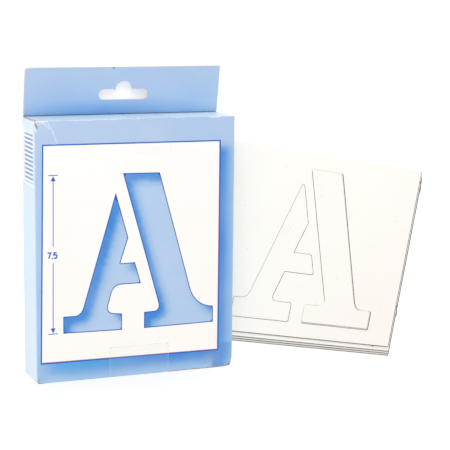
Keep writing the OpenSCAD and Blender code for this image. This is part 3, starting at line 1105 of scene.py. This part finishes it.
def labelSpot(x, y, side):
    # x runs up the carton and y from its back to its front
    return (-wallBow(x, y) - (tape["film"] if side else 0.0) + 0.02, x, y)


label = sheet("sideLabel", [labelLoop[::-1]], cartonPlace, labelSpot, [labelPaper], 1.5, {
    "along": lambda x, y: x - labelLow,
    "barField": lambda x, y: (smooth(1.2, 1.9, x - labelLow) * smooth(23.6, 22.9, x - labelLow)
                              * smooth(4.6, 5.3, y)),
})
register(label, "label_paper", "carton", "side_label")

# top card of the pile, with its letter's blanks a little raised in their openings
print("cards")
card = {
    "width": 105.0,
    "height": 90.0,
    "thickness": 0.6,
    "top": 2.4,
    "turn": 10.4,
    "kerf": 0.18,
    "burr": 0.45,
    "burrX": 9.0,
    "burrY": 5.5,
    "burrPitch": 63.5,
    "cutCorner": 0.5,
    "letter": 75.0,
    "heavy": 17.1,
    "thin": 12.5,
    "slope": 0.32,
    "tie": 5.1,
    "serif": 9.3,
    "serifOut": 9.0,
    "serifThin": 7.0,
    "serifIn": 11.5,
    "peakStep": 1.0,
    "bracket": 3.8,
    "barDrop": 3.6,
    "barHeight": 9.6,
    "cornerRadius": 0.9,
    "blankShift": {"right": (-0.45, 0.43), "left": (-0.04, 0.05)},
    "blankTrim": {"right": 0.3, "left": 0.04},
    "blankLift": {"right": 0.16, "left": 0.06},
}
pileShift = {"a": (0.0, 0.0), "b": (1.1, -2.4), "c": (1.6, -3.6), "d": (1.95, -4.7)}
# the pile's sides: a painted shade tone, a painted light tone, and no paler single cards
pileLook = (cardLook["paper"], cardLook["warm"], (cardLook["cut"], cardLook["paleCut"], 0.0))
pileCards = {letter: makeCardStock(f"looseCardStock_{letter}", *pileLook, shift)
             for letter, shift in pileShift.items()}
looseCard = makeCardStock("looseBlankStock", *pileLook)
# the boxed cards' sides: a painted shade tone, a painted light tone, and how much paler single cards can be
boxedCard = makeCardStock("boxedCardStock", "#FBF8F1", "#F7F1E7", ("#8F8B82", "#C4BFB5", 0.7))
pilePlace = Matrix.Rotation(math.radians(-card["turn"]), 4, "Z") @ Matrix.Scale(mm, 4)


def heavyX(y):
    return (half - y) * card["slope"] - card["heavy"] / 2


def thinX(y):
    return (y - half) * card["slope"] - card["heavy"] / 2 - card["peakStep"]


def roundOutward(loop):
    # rounds the outward corners of an outline that runs anticlockwise
    area = sum(loop[i - 1][0] * y - x * loop[i - 1][1] for i, (x, y) in enumerate(loop))
    if area < 0:
        loop = loop[::-1]
    result = []
    for i, point in enumerate(loop):
        here = Vector(point)
        before = Vector(loop[i - 1]) - here
        after = Vector(loop[(i + 1) % len(loop)]) - here
        turn = math.pi - before.angle(after)
        if turn < math.radians(28) or before.cross(after) > 0:
            result.append(point)
            continue
        reach = card["cornerRadius"] * math.tan(turn / 2)
        start, end = (tuple(here + way.normalized() * reach) for way in (before, after))
        result += curve(start, point, end, 5)
    # without points that lie on each other
    return [p for i, p in enumerate(result) if (Vector(p) - Vector(result[i - 1])).length > 0.02]


half, slab = card["letter"] / 2, card["serif"] - card["letter"] / 2
knee = slab + card["bracket"]


def rightBlank():
    heavy, reach = card["heavy"], card["bracket"]
    innerX, outerX = heavyX(slab), heavyX(slab) + heavy
    farOut, farIn = outerX + card["serifOut"], innerX - card["serifIn"]
    loop = [(heavyX(half), half), (heavyX(half) + heavy, half)]
    loop += curve((heavyX(knee) + heavy, knee), (outerX, slab), (outerX + reach, slab))
    loop += [(farOut, slab), (farOut, -half), (farIn, -half), (farIn, slab)]
    loop += curve((innerX - reach, slab), (innerX, slab), (heavyX(knee), knee))
    return roundOutward(loop)


def leftBlank():
    thin, tie, reach, step = card["thin"], card["tie"], card["bracket"], card["peakStep"]
    outerX, innerX = thinX(slab), thinX(slab) + thin
    farOut, farIn = outerX - card["serifThin"], innerX + card["serifIn"]
    barTop = -card["barDrop"]
    barLow = barTop - card["barHeight"]
    apexY = half - (tie - step) / (2 * card["slope"])
    counterY = half - (thin + tie - step) / (2 * card["slope"])
    loop = [(thinX(apexY), apexY), (heavyX(counterY) - tie, counterY)]
    loop += [(thinX(barTop) + thin, barTop), (heavyX(barTop) - tie, barTop)]
    loop += [(heavyX(barLow) - tie, barLow), (thinX(barLow) + thin, barLow)]
    loop += curve((thinX(knee) + thin, knee), (innerX, slab), (innerX + reach, slab))
    loop += [(farIn, slab), (farIn, -half), (farOut, -half), (farOut, slab)]
    loop += curve((outerX - reach, slab), (outerX, slab), (thinX(knee), knee))
    return roundOutward(loop)


def grow(loop, amount):
    # the outline moved outwards by an amount, or inwards if it is negative
    result = []
    for i, point in enumerate(loop):
        before = (Vector(point) - Vector(loop[i - 1])).normalized()
        after = (Vector(loop[(i + 1) % len(loop)]) - Vector(point)).normalized()
        normal = Vector((before.y + after.y, -before.x - after.x)).normalized()
        reach = amount / max(normal.dot(Vector((before.y, -before.x))), 0.4)
        result.append(tuple(Vector(point) + normal * reach))
    return result


def cardOutline():
    # the card's edge with the small burrs that the die's nicks leave on it
    halfX, halfY, burr, soft = card["width"] / 2, card["height"] / 2, card["burr"], card["cutCorner"]
    burrX, burrTop = halfX - card["burrX"], halfY - card["burrY"]
    burrLow = burrTop - card["burrPitch"]
    loop = [(-halfX + soft, -halfY)]
    for x in (-burrX, burrX):
        loop += arc(x, -halfY, burr, 180, 360, 6)
    loop += [(halfX - soft, -halfY), (halfX, -halfY + soft)]
    for y in (burrLow, burrTop):
        loop += arc(halfX, y, burr, -90, 90, 6)
    loop += [(halfX, halfY - soft), (halfX - soft, halfY)]
    for x in (burrX, -burrX):
        loop += arc(x, halfY, burr, 0, 180, 6)
    return loop + [(-halfX + soft, halfY), (-halfX, halfY - soft), (-halfX, -halfY + soft)]


def flatSpot(low, high, shift=(0.0, 0.0)):
    def spot(x, y, side):
        return (x + shift[0], y + shift[1], high if side else low)
    return spot


blanks = {"right": rightBlank(), "left": leftBlank()}
openings = [grow(loop, card["kerf"]) for loop in blanks.values()]
cardLow = card["top"] - card["thickness"]
# the walls of the letter openings take the near-black painted shade of the kerf; the outer edges take the
# card stock
topCard = sheet("topCard", [cardOutline()] + openings, pilePlace, flatSpot(cardLow, card["top"]),
                [pileCards["a"], cutKerf], 6.0, edgeSlot=lambda x, y: int(abs(x) < 50 and abs(y) < 43))
softenEdges(topCard)
register(topCard, "stencil_card", "loose_card_a", "card_a")
for side, loop in blanks.items():
    lift = card["blankLift"][side]
    blank = sheet(f"blank{side.capitalize()}", [grow(loop, -card["blankTrim"][side])], pilePlace,
                  flatSpot(cardLow + lift, card["top"] + lift, card["blankShift"][side]), [looseCard], 6.0)
    softenEdges(blank)
    register(blank, "stencil_card", f"popped_a_{side}", f"blank_a_{side}")

# finishes of the carried-over pieces
print("finishes")
for name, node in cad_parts.items():
    kind, _, letter = name.partition("_")
    finish = {"card": pileCards.get(letter, boxedCard), "blank": looseCard}.get(kind, bareBoard)
    node.data.materials.clear()
    node.data.materials.append(finish)

# floor, light and camera
print("floor, light and camera")
studio = {
    "floorSize": 4.0,
    "world": 0.64,
    # lights by name as (place, size, power)
    "lights": {
        "keyLight": ((-0.30, 0.62, 0.70), 0.55, 3.8),
        "fillLight": ((-0.28, -0.75, 0.8), 0.9, 1.2),
        "sideLight": ((-0.85, 0.12, 0.17), 0.35, 0.6),
        "pileLight": ((0.62, -0.10, 0.34), 0.3, 0.5),
    },
    "cameraSpot": (-0.31448, 0.12734, 0.61315),
    "cameraAim": (-0.04605, 0.01345, 0.0),
    "cameraUp": (-0.01264, 0.99992, 0.0),
    "lens": 114.84,
    "sensor": 36.0,
}
scene = bpy.context.scene
floorMesh = bpy.data.meshes.new("floor")
grid = bmesh.new()
bmesh.ops.create_grid(grid, x_segments=8, y_segments=8, size=studio["floorSize"] / 2)
grid.to_mesh(floorMesh)
grid.free()
floorMesh.materials.append(makeFloor())
floor = link("floor", floorMesh)
floor.location.z = -0.1 * mm

scene.world = bpy.data.worlds.new("studioWorld")
startTree(scene.world)
feedNamed(work["nodes"]["Background"], {
    "Color": (1.0, 1.0, 1.0, 1.0),
    "Strength": maths("MULTIPLY_ADD", seenDirectly(), 1.0 - studio["world"], studio["world"]),
})

cameraSpot, aim, up = (Vector(studio[key]) for key in ("cameraSpot", "cameraAim", "cameraUp"))
for name, (spot, size, power) in studio["lights"].items():
    lamp = bpy.data.lights.new(name, "AREA")
    lamp.energy, lamp.size = power, size
    lampObject = link(name, lamp)
    lampObject.location = spot
    lampObject.rotation_euler = (aim - Vector(spot)).to_track_quat("-Z", "Y").to_euler()

cameraData = bpy.data.cameras.new("camera")
cameraData.lens, cameraData.sensor_width = studio["lens"], studio["sensor"]
camera = link("camera", cameraData)
axisZ = (cameraSpot - aim).normalized()
axisX = up.cross(axisZ).normalized()
turn = Matrix((axisX, axisZ.cross(axisX), axisZ)).transposed().to_4x4()
camera.matrix_world = Matrix.Translation(cameraSpot) @ turn
scene.camera = camera
scene.view_settings.view_transform = "Standard"

print("finishing")
